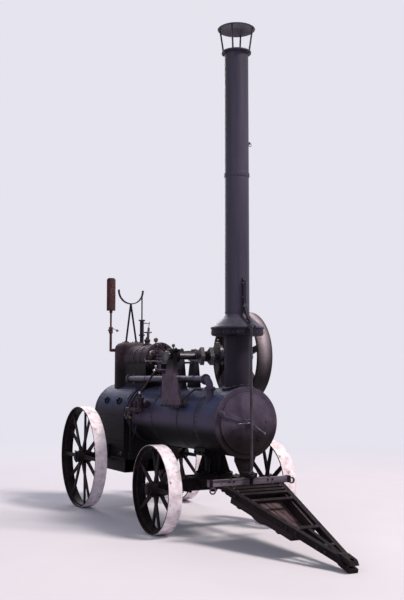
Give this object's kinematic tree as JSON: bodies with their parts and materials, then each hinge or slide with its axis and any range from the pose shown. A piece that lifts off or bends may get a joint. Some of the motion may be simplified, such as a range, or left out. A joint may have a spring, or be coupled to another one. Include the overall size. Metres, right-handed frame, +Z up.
{
  "type": "portable steam engine",
  "caption": "Towed portable steam engine: horizontal boiler on iron wheels, tall folding chimney, top-mounted cylinder, crank and flywheel, and a drawbar.",
  "frame": {"origin": "on the ground under the middle of the machine's length and width, drawbar included", "axes": "+X towards the smokebox and drawbar, +Y the engine's left, where the flywheel is, +Z up"},
  "size_m": [5.0852, 1.533, 5.19],
  "materials": {
    "dark_iron": "worn black-blue boiler paint over iron, matt",
    "brown_iron": "sun-faded black paint gone brown",
    "tyre_steel": "bare worn tyre steel with dull spokes",
    "bright_steel": "oiled machined steel",
    "rust_red": "red-brown rust",
    "old_brass": "tarnished brass",
    "drawbar_black": "black-brown paint, worn",
    "old_wood": "weathered ash"
  },
  "bodies": {
    "chassis": {"boiler_barrel": "dark_iron", "firebox": "dark_iron", "ash_pan": "dark_iron", "backhead_fittings": "old_brass", "smokebox": "dark_iron", "smokebox_front": "brown_iron", "chimney_base": "dark_iron", "tie_rod_bracket": "drawbar_black", "chimney_crutch": "dark_iron", "cylinder_block": "brown_iron", "cylinder_cover": "brown_iron", "valve_chest": "brown_iron", "slide_bars": "bright_steel", "crosshead": "bright_steel", "motion_bracket": "dark_iron", "valve_rod": "bright_steel", "crank_bracket_right": "brown_iron", "crank_bracket_left": "brown_iron", "governor_stand": "dark_iron", "exhaust_pipe": "dark_iron", "feed_pump": "brown_iron", "pump_rod": "bright_steel", "feed_pipes": "dark_iron", "suction_pipe": "dark_iron", "whistle": "rust_red", "safety_valve": "dark_iron", "rear_axle": "dark_iron", "perch": "dark_iron"},
    "fore_carriage": {"fore_carriage": "drawbar_black", "front_axle": "drawbar_black", "crossbar": "old_wood"},
    "drawbar": {"drawbar": "drawbar_black", "toolbox": "old_wood"},
    "front_right_wheel": {"wheel_front_right": "tyre_steel"},
    "front_left_wheel": {"wheel_front_left": "tyre_steel"},
    "rear_right_wheel": {"wheel_rear_right": "tyre_steel"},
    "rear_left_wheel": {"wheel_rear_left": "tyre_steel"},
    "chimney": {"chimney_pipe": "dark_iron", "chimney_cap": "dark_iron", "chimney_lever": "dark_iron"},
    "smokebox_door": {"smokebox_door": "brown_iron", "door_handles": "bright_steel"},
    "fire_door": {"fire_door": "dark_iron"},
    "tie_rod": {"tie_rod": "bright_steel"},
    "crankshaft": {"crankshaft": "bright_steel", "flywheel": "dark_iron"},
    "connecting_rod": {"connecting_rod": "bright_steel"},
    "eccentric_rod": {"eccentric_rod": "bright_steel"},
    "governor": {"governor": "dark_iron"}
  },
  "joints": [
    {"name": "steering", "type": "hinge", "parent": "chassis", "child": "fore_carriage", "pos_m": [0.18042, 0, 0.56], "axis": [0, 0, -1], "range_deg": [-35, 35]},
    {"name": "front_right_wheel_spin", "type": "hinge", "parent": "fore_carriage", "child": "front_right_wheel", "pos_m": [0.18042, -0.6575, 0.443], "axis": [0, 1, 0], "continuous": true},
    {"name": "front_left_wheel_spin", "type": "hinge", "parent": "fore_carriage", "child": "front_left_wheel", "pos_m": [0.18042, 0.6575, 0.443], "axis": [0, 1, 0], "continuous": true},
    {"name": "rear_right_wheel_spin", "type": "hinge", "parent": "chassis", "child": "rear_right_wheel", "pos_m": [-1.93958, -0.6575, 0.603], "axis": [0, 1, 0], "continuous": true},
    {"name": "rear_left_wheel_spin", "type": "hinge", "parent": "chassis", "child": "rear_left_wheel", "pos_m": [-1.93958, 0.6575, 0.603], "axis": [0, 1, 0], "continuous": true},
    {"name": "drawbar_lift", "type": "hinge", "parent": "fore_carriage", "child": "drawbar", "pos_m": [0.98042, 0, 0.515], "axis": [0, -1, 0], "range_deg": [0, 50]},
    {"name": "chimney_fold", "type": "hinge", "parent": "chassis", "child": "chimney", "pos_m": [0.38842, 0, 2.052], "axis": [0, -1, 0], "range_deg": [0, 83]},
    {"name": "smokebox_door_swing", "type": "hinge", "parent": "chassis", "child": "smokebox_door", "pos_m": [0.85542, -0.289, 1.215], "axis": [-1, 0, 0], "range_deg": [0, 110]},
    {"name": "fire_door_swing", "type": "hinge", "parent": "chassis", "child": "fire_door", "pos_m": [-2.36758, -0.212, 0.93], "axis": [0, 0, 1], "range_deg": [0, 110]},
    {"name": "tie_rod_swing", "type": "hinge", "parent": "chassis", "child": "tie_rod", "pos_m": [0.99542, -0.028, 0.646], "axis": [-1, 0, 0], "range_deg": [0, 40]},
    {"name": "crank_spin", "type": "hinge", "parent": "chassis", "child": "crankshaft", "pos_m": [-0.08958, 0, 1.79], "axis": [0, 1, 0], "continuous": true},
    {"name": "connecting_rod_turn", "type": "hinge", "parent": "crankshaft", "child": "connecting_rod", "pos_m": [-0.20958, 0, 1.79], "axis": [0, 1, 0], "continuous": true},
    {"name": "eccentric_rod_turn", "type": "hinge", "parent": "crankshaft", "child": "eccentric_rod", "pos_m": [-0.08958, 0.2, 1.825], "axis": [0, 1, 0], "continuous": true},
    {"name": "governor_spin", "type": "hinge", "parent": "chassis", "child": "governor", "pos_m": [-0.65958, -0.235, 1.79], "axis": [0, 0, 1], "continuous": true}
  ],
  "couplings": [
    {"joint": "connecting_rod_turn", "follows": "crank_spin", "ratio": -1},
    {"joint": "eccentric_rod_turn", "follows": "crank_spin", "ratio": -1}
  ]
}
